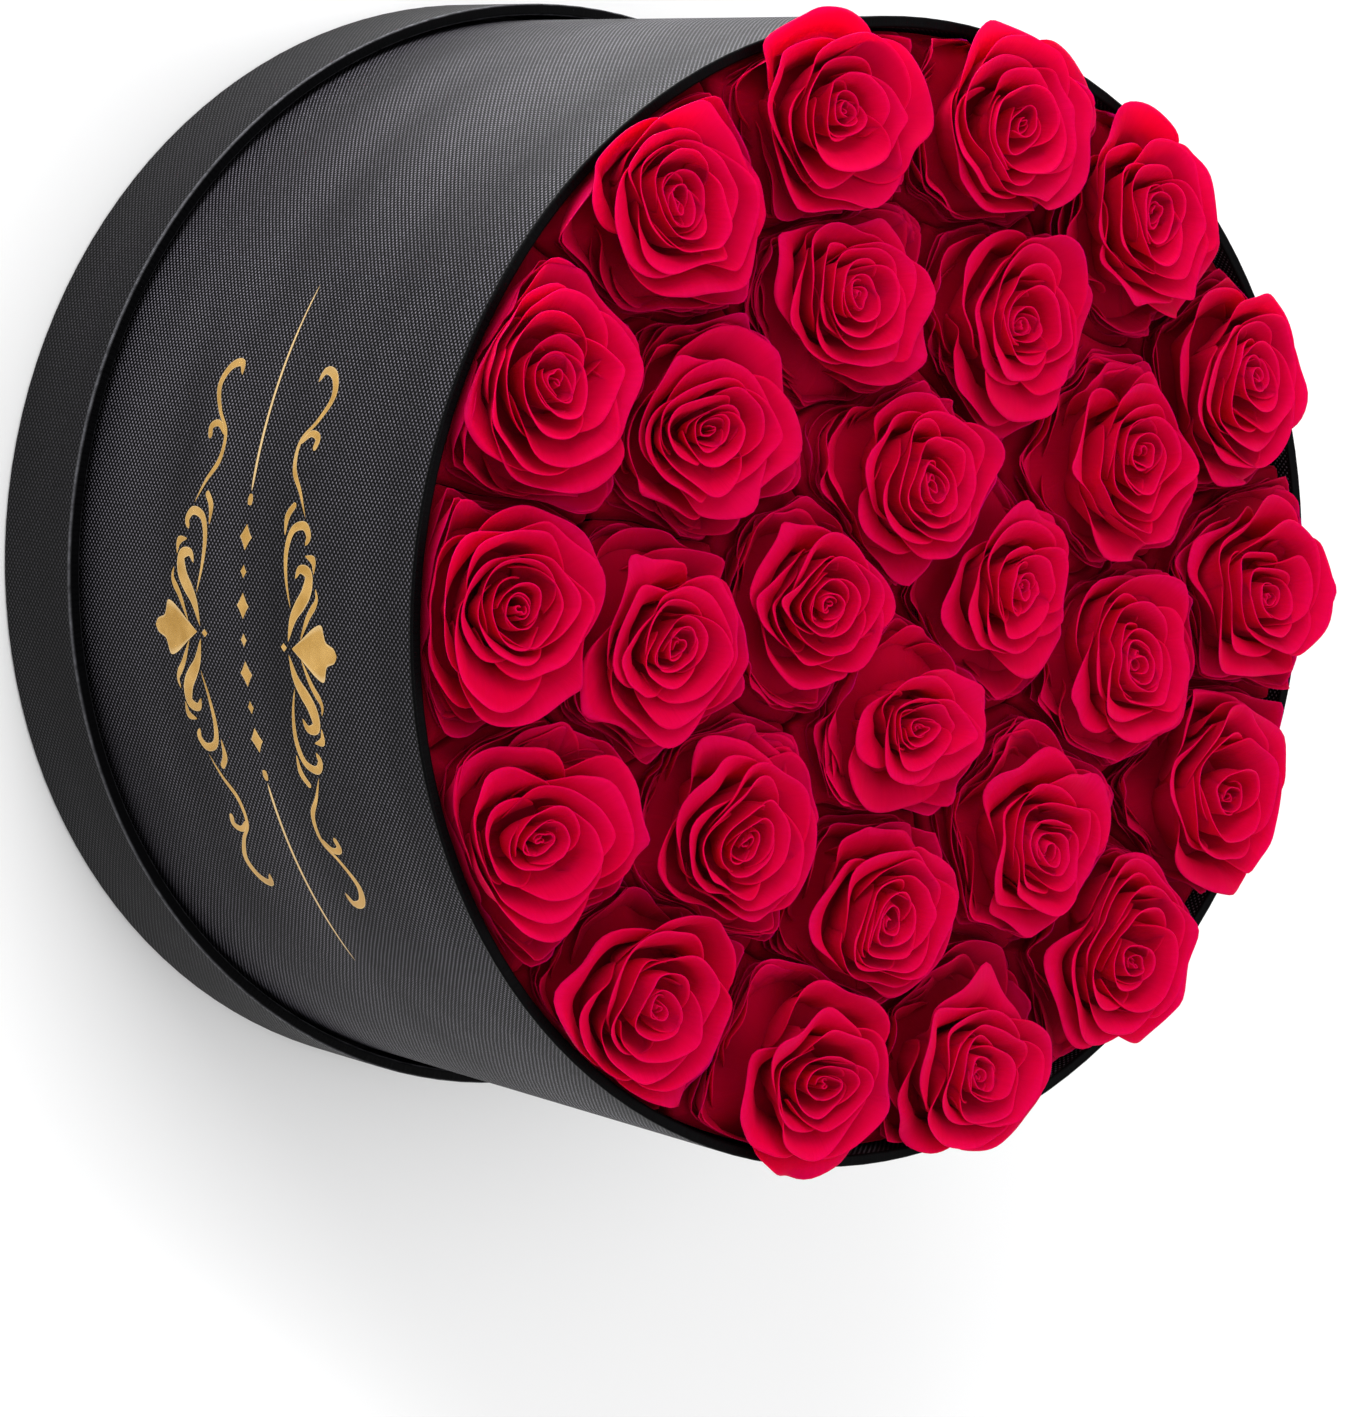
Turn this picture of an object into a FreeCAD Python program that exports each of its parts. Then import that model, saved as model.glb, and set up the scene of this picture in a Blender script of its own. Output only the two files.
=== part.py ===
"""Round flower box standing in its upturned lid, packed with preserved rose heads.

Millimetres, +Z up. The origin is the centre of the lid's underside, where the box stands on a
table. The box's foil print faces -Y.

The lid and the box are each a greyboard shell with embossed paper glued round it, turned over the
open edge and turned under the closed one. Inside the box a card riser carries a platform and a
disc of foam. Each rose is a head on a calyx and a stem, and the stem is pushed into the foam.
"""
import FreeCAD, Part

import math
import os

# The box and the lid that it stands in
BOX_RADIUS = 130.0  # over the paper
BOX_TOP = 166.0  # height of the box's open edge above the table
LID_RADIUS = 134.0  # over the paper
LID_HEIGHT = 31.0
LID_CLEARANCE = 1.2  # between the lid's lining and the box

# Sheet materials
PAPER = 0.3
WALL_BOARD = 2.0
DISC_BOARD = 2.5
EDGE_ROUND = 0.6  # of the paper where it turns over an edge
TURN_IN = 15.0  # paper turned down inside an open edge
TURN_UNDER = 14.0  # paper turned in under a closed end
COVER_INSET = 2.0  # a cover disc stops this far inside the edge

# What the box holds
RISER_HEIGHT = 59.0
RISER_RADIUS = 120.0
RISER_THICKNESS = 3.0
PLATFORM_THICKNESS = 3.0
PLATFORM_CLEARANCE = 0.5
FOAM_HEIGHT = 50.0
FOAM_CLEARANCE = 0.9

# A rose
HEAD_HEIGHT = 50.0
HEAD_RADIUS = 24.5
HEAD_FOOT_RADIUS = 7.0
HEAD_CROWN_RADIUS = 10.0
HEAD_PROUD = 16.0  # how far the heads stand above the box's open edge
HEAD_GAP = 0.4  # between two heads, and between a head and the box
STEM_RADIUS = 2.0
STEM_IN_FOAM = 32.0
STEM_CLEARANCE = 0.05
CALYX_HEIGHT = 7.0
CALYX_RADIUS = 6.0
SEPALS = 5
SEPAL_LENGTH = 7.0
SEPAL_WIDTH = 4.0
SEPAL_THICKNESS = 0.8

# Rings of roses: distance from the axis as a share of the box's radius, how many, first angle
ROSE_RINGS = ((0.838, 14, 7.8), (0.530, 9, 30.8), (0.215, 4, 87.2))

# Heights and radii that follow
LID_INSIDE_RADIUS = BOX_RADIUS + LID_CLEARANCE
LID_BOARD_INSIDE = LID_INSIDE_RADIUS + PAPER
LID_FLOOR = 2 * PAPER + DISC_BOARD  # top of the lid's board
BOX_FOOT = LID_FLOOR + PAPER  # the box stands on the lid's lining
BOX_BOARD_FOOT = BOX_FOOT + 2 * PAPER
BOX_FLOOR = BOX_BOARD_FOOT + DISC_BOARD
BOX_BOARD_RADIUS = BOX_RADIUS - PAPER
BOX_BOARD_INSIDE = BOX_BOARD_RADIUS - WALL_BOARD
BOX_INSIDE_RADIUS = BOX_BOARD_INSIDE - PAPER
RISER_FOOT = BOX_FLOOR + PAPER
PLATFORM_FOOT = RISER_FOOT + RISER_HEIGHT
FOAM_FOOT = PLATFORM_FOOT + PLATFORM_THICKNESS
FOAM_TOP = FOAM_FOOT + FOAM_HEIGHT
HEAD_TOP = BOX_TOP + HEAD_PROUD
HEAD_FOOT = HEAD_TOP - HEAD_HEIGHT
CALYX_FOOT = HEAD_FOOT - CALYX_HEIGHT
STEM_FOOT = FOAM_TOP - STEM_IN_FOAM

AXIS = FreeCAD.Vector(0, 0, 1)
ORIGIN = FreeCAD.Vector(0, 0, 0)


def profile_point(radius, height):
    return FreeCAD.Vector(radius, 0, height)


def rounded_outline(corners):
    """A closed face in the XZ plane from (radius, height, corner radius), all in order round it."""
    count = len(corners)
    starts, ends, arcs = [], [], []
    for i, (radius, height, rounding) in enumerate(corners):
        here = profile_point(radius, height)
        back = (profile_point(*corners[i - 1][:2]) - here).normalize()
        on = (profile_point(*corners[(i + 1) % count][:2]) - here).normalize()
        half_angle = back.getAngle(on) / 2
        reach = rounding / math.tan(half_angle)
        starts.append(here + back * reach)
        ends.append(here + on * reach)
        middle = here + (back + on).normalize() * (rounding / math.sin(half_angle) - rounding)
        arcs.append(Part.Arc(starts[i], middle, ends[i]).toShape() if rounding else None)
    edges = []
    for i, arc in enumerate(arcs):
        if arc:
            edges.append(arc)
        edges.append(Part.LineSegment(ends[i], starts[(i + 1) % count]).toShape())
    return Part.Face(Part.Wire(edges))


def turned(corners):
    """The solid that a closed outline sweeps round the axis."""
    return rounded_outline(corners).revolve(ORIGIN, AXIS, 360)


def disc(radius, foot, thickness):
    return Part.makeCylinder(radius, thickness, profile_point(0, foot), AXIS)


def ring(outside, inside, foot, top, edge_round=0.0):
    """A tube whose top edges may be rounded, for a board or a lining."""
    return turned(
        [
            (inside, foot, 0.0),
            (inside, top, edge_round),
            (outside, top, edge_round),
            (outside, foot, 0.0),
        ]
    )


def wrap(outside, inside, foot, top):
    """Paper round a wall: turned under at its foot, up the outside, over the top and down inside."""
    board_round = EDGE_ROUND - PAPER
    under = outside - TURN_UNDER
    turn_in_foot = top - TURN_IN
    return turned(
        [
            (under, foot, 0.0),
            (outside, foot, EDGE_ROUND),
            (outside, top, EDGE_ROUND),
            (inside, top, EDGE_ROUND),
            (inside, turn_in_foot, 0.0),
            (inside + PAPER, turn_in_foot, 0.0),
            (inside + PAPER, top - PAPER, board_round),
            (outside - PAPER, top - PAPER, board_round),
            (outside - PAPER, foot + PAPER, board_round),
            (under, foot + PAPER, 0.0),
        ]
    )


def wall_board(outside, inside, foot, top):
    """A greyboard tube that fills its wrap, with the same rounding at its edges."""
    board_round = EDGE_ROUND - PAPER
    return turned(
        [
            (inside, foot, 0.0),
            (inside, top, board_round),
            (outside, top, board_round),
            (outside, foot, board_round),
        ]
    )


def lid_parts():
    """The lid, upside down under the box."""
    board_radius = LID_RADIUS - PAPER
    lining_top = LID_HEIGHT - TURN_IN
    return {
        "lid_cover_disc": disc(LID_RADIUS - COVER_INSET, 0, PAPER),
        "lid_wrap": wrap(LID_RADIUS, LID_INSIDE_RADIUS, PAPER, LID_HEIGHT),
        "lid_wall_board": wall_board(board_radius, LID_BOARD_INSIDE, 2 * PAPER, LID_HEIGHT - PAPER),
        "lid_disc_board": disc(LID_BOARD_INSIDE, 2 * PAPER, DISC_BOARD),
        "lid_wall_lining": ring(LID_BOARD_INSIDE, LID_INSIDE_RADIUS, LID_FLOOR, lining_top),
        "lid_disc_lining": disc(LID_INSIDE_RADIUS, LID_FLOOR, PAPER),
    }


def box_parts():
    """The box's own shell."""
    lining_top = BOX_TOP - TURN_IN
    return {
        "box_base_cover": disc(BOX_RADIUS - COVER_INSET, BOX_FOOT, PAPER),
        "box_wrap": wrap(BOX_RADIUS, BOX_INSIDE_RADIUS, BOX_FOOT + PAPER, BOX_TOP),
        "box_wall_board": wall_board(BOX_BOARD_RADIUS, BOX_BOARD_INSIDE, BOX_BOARD_FOOT, BOX_TOP - PAPER),
        "box_base_board": disc(BOX_BOARD_INSIDE, BOX_BOARD_FOOT, DISC_BOARD),
        "box_wall_lining": ring(BOX_BOARD_INSIDE, BOX_INSIDE_RADIUS, BOX_FLOOR, lining_top),
        "box_base_lining": disc(BOX_INSIDE_RADIUS, BOX_FLOOR, PAPER),
    }


def rose_places():
    """Each rose's (x, y), ring by ring from the outside."""
    places = []
    for share, count, first in ROSE_RINGS:
        for i in range(count):
            angle = math.radians(first + 360.0 * i / count)
            places.append((BOX_RADIUS * share * math.cos(angle), BOX_RADIUS * share * math.sin(angle)))
    return places


def support_parts(places):
    """What carries the roses at the height of the box's mouth."""
    foam = disc(BOX_INSIDE_RADIUS - FOAM_CLEARANCE, FOAM_FOOT, FOAM_HEIGHT)
    holes = [
        Part.makeCylinder(STEM_RADIUS + STEM_CLEARANCE, STEM_IN_FOAM, FreeCAD.Vector(x, y, STEM_FOOT), AXIS)
        for x, y in places
    ]
    return {
        "riser_ring": ring(RISER_RADIUS, RISER_RADIUS - RISER_THICKNESS, RISER_FOOT, PLATFORM_FOOT),
        "platform_disc": disc(BOX_INSIDE_RADIUS - PLATFORM_CLEARANCE, PLATFORM_FOOT, PLATFORM_THICKNESS),
        "foam_disc": foam.cut(holes),
    }


def cell_corners(places, index, reach):
    """Corners of the space nearer to one rose than to any other, less half of HEAD_GAP all round."""
    x, y = places[index]
    corners = [(x + reach * a, y + reach * b) for a, b in ((-1, -1), (1, -1), (1, 1), (-1, 1))]
    for other, (other_x, other_y) in enumerate(places):
        away_x, away_y = other_x - x, other_y - y
        apart = math.hypot(away_x, away_y)
        if other == index or apart > 2 * math.sqrt(2) * reach:
            continue
        limit = apart / 2 - HEAD_GAP / 2
        inside = [limit - ((px - x) * away_x + (py - y) * away_y) / apart for px, py in corners]
        kept = []
        for i, (corner, depth) in enumerate(zip(corners, inside)):
            following = corners[(i + 1) % len(corners)]
            next_depth = inside[(i + 1) % len(corners)]
            if depth >= 0:
                kept.append(corner)
            if depth * next_depth < 0:
                share = depth / (depth - next_depth)
                kept.append(tuple(a + (b - a) * share for a, b in zip(corner, following)))
        corners = kept
    return corners


def head_solid():
    """A whole rose head on the axis: a cup that swells from its foot to a shoulder and a low crown."""
    shoulder = HEAD_FOOT + 0.64 * HEAD_HEIGHT
    foot = profile_point(HEAD_FOOT_RADIUS, HEAD_FOOT)
    widest = profile_point(HEAD_RADIUS, shoulder)
    crown = profile_point(HEAD_CROWN_RADIUS, HEAD_TOP)
    belly = profile_point(0.82 * HEAD_RADIUS, HEAD_FOOT + 0.24 * HEAD_HEIGHT)
    brow = profile_point(0.86 * HEAD_RADIUS, HEAD_FOOT + 0.88 * HEAD_HEIGHT)
    edges = [
        Part.LineSegment(profile_point(0, HEAD_FOOT), foot).toShape(),
        Part.Arc(foot, belly, widest).toShape(),
        Part.Arc(widest, brow, crown).toShape(),
        Part.LineSegment(crown, profile_point(0, HEAD_TOP)).toShape(),
        Part.LineSegment(profile_point(0, HEAD_TOP), profile_point(0, HEAD_FOOT)).toShape(),
    ]
    return Part.Face(Part.Wire(edges)).revolve(ORIGIN, AXIS, 360)


def rose_heads(places):
    """The heads, each pressed flat where it meets its neighbours and the wall, and full above it."""
    whole = head_solid()
    room = turned(
        [
            (0.0, HEAD_FOOT, 0.0),
            (BOX_INSIDE_RADIUS - HEAD_GAP, HEAD_FOOT, 0.0),
            (BOX_INSIDE_RADIUS - HEAD_GAP, BOX_TOP + HEAD_GAP, 0.0),
            (LID_RADIUS, BOX_TOP + HEAD_GAP, 0.0),
            (LID_RADIUS, HEAD_TOP, 0.0),
            (0.0, HEAD_TOP, 0.0),
        ]
    )
    heads = {}
    for i, (x, y) in enumerate(places):
        corners = [FreeCAD.Vector(px, py, HEAD_FOOT) for px, py in cell_corners(places, i, HEAD_RADIUS + 1)]
        cell = Part.Face(Part.makePolygon(corners + corners[:1])).extrude(AXIS * HEAD_HEIGHT)
        placed = whole.copy()
        placed.translate(FreeCAD.Vector(x, y, 0))
        heads[f"rose_head_{i + 1:02d}"] = placed.common(cell).common(room)
    return heads


def calyx():
    """The green cup under a head, with its sepals laid out against the petals."""
    cup = turned(
        [
            (STEM_RADIUS, CALYX_FOOT, 0.0),
            (CALYX_RADIUS, HEAD_FOOT - 0.4 * CALYX_HEIGHT, 1.5),
            (CALYX_RADIUS, HEAD_FOOT, 0.0),
            (0.0, HEAD_FOOT, 0.0),
            (0.0, CALYX_FOOT, 0.0),
        ]
    )
    blade = Part.makeBox(
        SEPAL_LENGTH, SEPAL_WIDTH, SEPAL_THICKNESS, FreeCAD.Vector(0, -SEPAL_WIDTH / 2, -SEPAL_THICKNESS)
    )
    blade.translate(FreeCAD.Vector(CALYX_RADIUS - 1, 0, HEAD_FOOT))
    for i in range(SEPALS):
        sepal = blade.copy()
        sepal.rotate(ORIGIN, AXIS, 360 * i / SEPALS)
        cup = cup.fuse(sepal)
    return cup


def rose_feet(places):
    """Every rose's calyx, and every rose's stem, each as one group of separate solids."""
    one_calyx = calyx()
    one_stem = Part.makeCylinder(STEM_RADIUS, CALYX_FOOT - STEM_FOOT, profile_point(0, STEM_FOOT), AXIS)
    calyxes, stems = [], []
    for x, y in places:
        for solids, one in ((calyxes, one_calyx), (stems, one_stem)):
            placed = one.copy()
            placed.translate(FreeCAD.Vector(x, y, 0))
            solids.append(placed)
    return {"rose_calyxes": Part.makeCompound(calyxes), "rose_stems": Part.makeCompound(stems)}


def main():
    os.makedirs("parts", exist_ok=True)
    places = rose_places()
    parts = {}
    parts.update(lid_parts())
    parts.update(box_parts())
    parts.update(support_parts(places))
    parts.update(rose_feet(places))
    parts.update(rose_heads(places))
    for node, shape in parts.items():
        if not shape.isValid():
            raise ValueError(f"{node} is not a valid solid")
        shape.exportStep(f"parts/{node}.step")
    print(len(parts), "nodes")


main()
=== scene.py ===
"""Looks of the round box of roses: embossed black paper, gold foil and 27 preserved blooms."""

import math

import bpy
import numpy as np
from mathutils import Matrix, Vector


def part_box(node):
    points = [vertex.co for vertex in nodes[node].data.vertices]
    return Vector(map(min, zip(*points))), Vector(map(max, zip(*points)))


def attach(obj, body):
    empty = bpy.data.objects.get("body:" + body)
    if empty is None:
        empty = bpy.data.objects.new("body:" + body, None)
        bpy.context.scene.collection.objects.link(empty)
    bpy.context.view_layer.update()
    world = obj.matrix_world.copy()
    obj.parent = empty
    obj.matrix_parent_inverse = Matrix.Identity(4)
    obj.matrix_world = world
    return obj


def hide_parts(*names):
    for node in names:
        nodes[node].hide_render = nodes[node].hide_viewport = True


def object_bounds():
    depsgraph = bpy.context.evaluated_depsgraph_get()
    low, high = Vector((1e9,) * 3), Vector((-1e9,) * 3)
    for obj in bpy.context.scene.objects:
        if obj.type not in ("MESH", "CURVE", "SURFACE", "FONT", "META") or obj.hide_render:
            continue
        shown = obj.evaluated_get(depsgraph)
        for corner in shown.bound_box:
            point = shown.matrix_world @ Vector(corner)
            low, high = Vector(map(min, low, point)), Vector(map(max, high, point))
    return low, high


MM = 0.001
THREAD = 0.73 * MM  # width of a thread of the linen grain
# Painted shade on the petals, low between the blooms:
PAINTED_SHADE_REACH = 6 * MM  # petals darken from this far above the box's open edge to as far below it

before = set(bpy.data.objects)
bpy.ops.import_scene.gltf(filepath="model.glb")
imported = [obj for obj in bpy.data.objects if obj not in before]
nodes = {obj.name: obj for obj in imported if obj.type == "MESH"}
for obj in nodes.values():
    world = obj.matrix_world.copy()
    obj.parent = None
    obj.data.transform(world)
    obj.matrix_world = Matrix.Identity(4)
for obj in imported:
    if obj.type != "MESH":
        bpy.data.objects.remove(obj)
cad_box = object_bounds()


# --- Places and sizes that come from the frame ----------------------------------------------


def points_of(node):
    """Every vertex of a CAD node, as rows of x, y and z."""
    mesh = nodes[node].data
    co = np.zeros(3 * len(mesh.vertices))
    mesh.vertices.foreach_get("co", co)
    return co.reshape(-1, 3)


def reach_of(node):
    """How far a round node reaches from the axis."""
    return float(np.hypot(*points_of(node)[:, :2].T).max())


def foot_of(node):
    """Middle of a node's lowest face."""
    co = points_of(node)
    foot = co[co[:, 2] < co[:, 2].min() + 0.1 * MM]
    return (foot.min(0) + foot.max(0)) / 2


HEADS = sorted(name for name in nodes if name.startswith("rose_head_"))
BOX_RADIUS = reach_of("box_wrap")
INSIDE_RADIUS = reach_of("foam_disc")
LID_RADIUS = reach_of("lid_wrap")
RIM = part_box("box_wrap")[1].z
LID_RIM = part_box("lid_wrap")[1].z
HEAD_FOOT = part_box(HEADS[0])[0].z
PLACES = np.array([foot_of(name)[:2] for name in HEADS])


# --- Meshes ---------------------------------------------------------------------------------


def smooth_step(x):
    """0 below 0, 1 above 1 and an easy curve between."""
    x = np.clip(x, 0.0, 1.0)
    return x * x * (3 - 2 * x)


def new_object(name, vertices, faces, material, smooth=True):
    """A mesh object from an array of vertices and an array of faces."""
    mesh = bpy.data.meshes.new(name)
    mesh.vertices.add(len(vertices))
    mesh.vertices.foreach_set("co", np.asarray(vertices, np.float32).ravel())
    faces = np.asarray(faces, np.int32)
    mesh.loops.add(faces.size)
    mesh.loops.foreach_set("vertex_index", faces.ravel())
    mesh.polygons.add(len(faces))
    mesh.polygons.foreach_set("loop_start", np.arange(0, faces.size, faces.shape[1], dtype=np.int32))
    mesh.update(calc_edges=True)
    mesh.polygons.foreach_set("use_smooth", np.full(len(faces), smooth))
    mesh.materials.append(material)
    thing = bpy.data.objects.new(name, mesh)
    bpy.context.scene.collection.objects.link(thing)
    return thing


def grid_faces(rows, columns):
    """Quads of a grid of vertices numbered row by row."""
    at = np.arange(rows * columns).reshape(rows, columns)
    return np.stack([at[:-1, :-1], at[:-1, 1:], at[1:, 1:], at[1:, :-1]], -1).reshape(-1, 4)


def grid_border(rows, columns):
    """Vertex numbers round the border of such a grid, in order."""
    at = np.arange(rows * columns).reshape(rows, columns)
    return np.concatenate([at[0], at[1:, -1], at[-1, -2::-1], at[-2:0:-1, 0]])


def grid_normals(sheet):
    """Unit normals of a (rows, columns, 3) sheet."""
    normals = np.cross(np.gradient(sheet, axis=1), np.gradient(sheet, axis=0))
    return normals / np.maximum(np.linalg.norm(normals, axis=-1, keepdims=True), 1e-12)


def thick_sheet(sheet, thickness):
    """Vertices and quads of a closed shell of that thickness round a sheet."""
    rows, columns = sheet.shape[:2]
    offset = grid_normals(sheet) * (np.broadcast_to(thickness, (rows, columns))[..., None] / 2)
    count = rows * columns
    vertices = np.concatenate([(sheet + offset).reshape(-1, 3), (sheet - offset).reshape(-1, 3)])
    top = grid_faces(rows, columns)
    border = grid_border(rows, columns)
    following = np.roll(border, -1)
    side = np.stack([border, border + count, following + count, following], -1)
    return vertices, np.concatenate([top, top[:, ::-1] + count, side])


def set_attribute(thing, name, values):
    """Gives every vertex a number that materials can read by that name."""
    attribute = thing.data.attributes.new(name, "FLOAT", "POINT")
    attribute.data.foreach_set("value", np.asarray(values, np.float32))


# --- Materials ------------------------------------------------------------------------------


class Nodes:
    """A material's nodes, with a short way to add one and join it to others."""

    def __init__(self, name):
        self.material = bpy.data.materials.new(name)
        self.material.use_nodes = True
        self.tree = self.material.node_tree
        self.shader = self.tree.nodes["Principled BSDF"]

    def add(self, kind, settings=None, **inputs):
        """A new node; its inputs go by name, or by number as i0, i1 and so on."""
        node = self.tree.nodes.new(kind)
        for key, value in (settings or {}).items():
            setattr(node, key, value)
        for key, value in inputs.items():
            by_number = key[0] == "i" and key[1:].isdigit()
            self.join(value, node.inputs[int(key[1:]) if by_number else key])
        return node

    def join(self, value, socket):
        """Links a node or a socket to the input, or sets the input to a plain value."""
        if isinstance(value, bpy.types.Node):
            value = value.outputs[0]
        if isinstance(value, bpy.types.NodeSocket):
            self.tree.links.new(value, socket)
        else:
            socket.default_value = value

    def math(self, operation, a, b=0.0):
        return self.add("ShaderNodeMath", {"operation": operation}, i0=a, i1=b)

    def mix(self, factor, a, b):
        """Colour between a and b."""
        node = self.add("ShaderNodeMix", {"data_type": "RGBA"}, i0=factor, i6=a, i7=b)
        return node.outputs[2]

    def between(self, value, low, high, to_low=0.0, to_high=1.0):
        """to_low where the value is at low, to_high where it is at high, clamped outside."""
        ends = {"From Min": low, "From Max": high, "To Min": to_low, "To Max": to_high}
        return self.add("ShaderNodeMapRange", None, Value=value, **ends).outputs[0]

    def noise(self, vector, scale, detail=3.0, roughness=0.5):
        inputs = {"Vector": vector, "Scale": scale, "Detail": detail, "Roughness": roughness}
        return self.add("ShaderNodeTexNoise", None, **inputs).outputs[0]

    def vector(self, x, y, z):
        return self.add("ShaderNodeCombineXYZ", None, X=x, Y=y, Z=z)

    def own_place(self):
        return self.add("ShaderNodeTexCoord").outputs["Object"]

    def attribute(self, name):
        return self.add("ShaderNodeAttribute", {"attribute_name": name}).outputs["Fac"]

    def bump(self, height, distance, strength=1.0, normal=None):
        node = self.add("ShaderNodeBump", None, Height=height, Distance=distance, Strength=strength)
        if normal is not None:
            self.join(normal, node.inputs["Normal"])
        return node

    def set(self, **values):
        """Fills in the shader's inputs, whose names have _ for a space, and gives the material."""
        for key, value in values.items():
            self.join(value, self.shader.inputs[key.replace("_", " ")])
        return self.material


def wall_place(n):
    """Distance round the axis on the wall and height, in metres, and the radius."""
    place = n.add("ShaderNodeSeparateXYZ", None, Vector=n.own_place())
    x, y, z = place.outputs
    angle = n.math("ARCTAN2", y, x)
    radius = n.math("SQRT", n.math("ADD", n.math("MULTIPLY", x, x), n.math("MULTIPLY", y, y)))
    return n.math("MULTIPLY", angle, BOX_RADIUS), z, radius


def weave(n, along, up):
    """Height of a plain weave, 0 to 1: threads stand up where they cross over. They wander a little."""
    drift = n.noise(n.vector(along, up, 0.0), 60.0)
    wander = n.math("MULTIPLY", n.math("SUBTRACT", drift, 0.5), 0.7)
    a = n.math("ADD", n.math("DIVIDE", along, THREAD), wander)
    b = n.math("ADD", n.math("DIVIDE", up, THREAD), wander)
    crossing = n.math("MULTIPLY", n.math("SINE", n.math("MULTIPLY", a, math.pi)),
                      n.math("SINE", n.math("MULTIPLY", b, math.pi)))
    return n.between(crossing, -1.0, 1.0)


def embossed_paper(name, relief, tops, gloss, edge, painted_fold_highlight):
    """Black paper pressed with a linen grain of that relief, its thread tops paler in the tone tops: partly
    worn paler, partly painted glints.

    The grain is ironed flat where the paper turns over an open edge at the height edge. The turn
    is puckered, and its outer corner is painted lighter in the last tone given: a painted highlight.
    """
    n = Nodes(name)
    along, up, radius = wall_place(n)
    threads = weave(n, along, up)
    fibres = n.noise(n.vector(n.math("MULTIPLY", along, 0.25), up, radius), 2600.0, 4.0, 0.6)
    patches = n.noise(n.vector(n.math("MULTIPLY", along, 0.3), up, radius), 30.0, 3.0)
    flat = n.between(up, edge - 0.9 * MM, edge - 0.4 * MM)
    rough = n.math("SUBTRACT", 1.0, flat)
    # Thread tops: partly worn paler and smoother, partly painted glints where the threads catch the light.
    rubbed_and_glints = n.math("MULTIPLY", n.between(threads, 0.6, 0.94), n.between(fibres, 0.3, 0.7, 0.5, 1.3))
    rubbed_and_glints = n.math("MULTIPLY", rubbed_and_glints, n.between(patches, 0.3, 0.7, 0.55, 1.3))
    dark = (0.001, 0.001, 0.0013, 1)
    pale = (1.06 * tops, tops, 1.18 * tops, 1)
    colour = n.mix(n.math("MULTIPLY", rubbed_and_glints, rough), dark, pale)
    # Painted highlight: the outer corner of the turn is painted lighter, broken up by the puckers.
    corner = n.between(up, edge - 1.1 * MM, edge - 0.5 * MM)
    corner = n.math("MULTIPLY", corner, n.between(up, edge - 0.02 * MM, edge - 0.3 * MM))
    puckers = n.noise(n.vector(along, 0.0, 0.0), 260.0, 5.0, 0.65)
    corner = n.math("MULTIPLY", corner, n.between(puckers, 0.35, 0.62, 0.2, 1.0))
    colour = n.mix(corner, colour, (painted_fold_highlight, painted_fold_highlight, 1.1 * painted_fold_highlight, 1))
    puckered = n.bump(n.math("MULTIPLY", puckers, flat), 0.5 * MM, 1.0)
    grain = n.bump(fibres, 0.02 * MM, 0.5, puckered)
    pressed = n.bump(n.math("MULTIPLY", threads, rough), relief, 1.0, grain)
    roughness = n.math("SUBTRACT", 0.5, n.math("MULTIPLY", rubbed_and_glints, 0.2))
    return n.set(Base_Color=colour, Roughness=roughness, Normal=pressed, Specular_IOR_Level=gloss)


def plain_paper(name, tone, roughness):
    """Smooth uncoated paper, faintly mottled."""
    n = Nodes(name)
    pulp = n.noise(n.own_place(), 900.0, 5.0, 0.65)
    cloud = n.noise(n.own_place(), 25.0, 2.0)
    mixed = n.math("ADD", n.math("MULTIPLY", pulp, 0.6), n.math("MULTIPLY", cloud, 0.4))
    dark = (*(0.75 * c for c in tone), 1)
    light = (*(1.25 * c for c in tone), 1)
    colour = n.mix(n.between(mixed, 0.3, 0.7), dark, light)
    uneven = n.between(pulp, 0.3, 0.7, roughness - 0.06, roughness + 0.06)
    return n.set(Base_Color=colour, Roughness=uneven, Normal=n.bump(pulp, 0.03 * MM, 0.6))


def raw_board():
    """Grey board, with the specks of the waste paper it is made from."""
    n = Nodes("raw_board")
    fibre = n.noise(n.own_place(), 1400.0, 6.0, 0.7)
    speck = n.noise(n.own_place(), 420.0, 2.0)
    colour = n.mix(n.between(fibre, 0.35, 0.65), (0.27, 0.25, 0.22, 1), (0.42, 0.39, 0.34, 1))
    colour = n.mix(n.between(speck, 0.66, 0.72), colour, (0.1, 0.09, 0.08, 1))
    return n.set(Base_Color=colour, Roughness=0.9, Normal=n.bump(fibre, 0.06 * MM, 0.8))


def dry_foam():
    """Green floral foam, with open cells."""
    n = Nodes("dry_foam")
    cells = n.add("ShaderNodeTexVoronoi", None, Vector=n.own_place(), Scale=1500.0)
    soft = n.noise(n.own_place(), 60.0, 4.0)
    colour = n.mix(cells.outputs[0], (0.008, 0.03, 0.014, 1), (0.05, 0.13, 0.06, 1))
    colour = n.mix(n.between(soft, 0.4, 0.7, 0.0, 0.4), colour, (0.03, 0.08, 0.03, 1))
    return n.set(Base_Color=colour, Roughness=0.95, Normal=n.bump(cells.outputs[0], 0.25 * MM, 0.9))


def dried_green(name, low, high):
    """Calyxes and stems: dried green with ribs."""
    n = Nodes(name)
    ribs = n.noise(n.own_place(), 500.0, 4.0, 0.6)
    blotch = n.noise(n.own_place(), 90.0, 3.0)
    colour = n.mix(n.between(blotch, 0.35, 0.65), (*low, 1), (*high, 1))
    return n.set(Base_Color=colour, Roughness=n.between(ribs, 0.3, 0.7, 0.55, 0.75),
                 Normal=n.bump(ribs, 0.12 * MM, 0.7))


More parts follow.
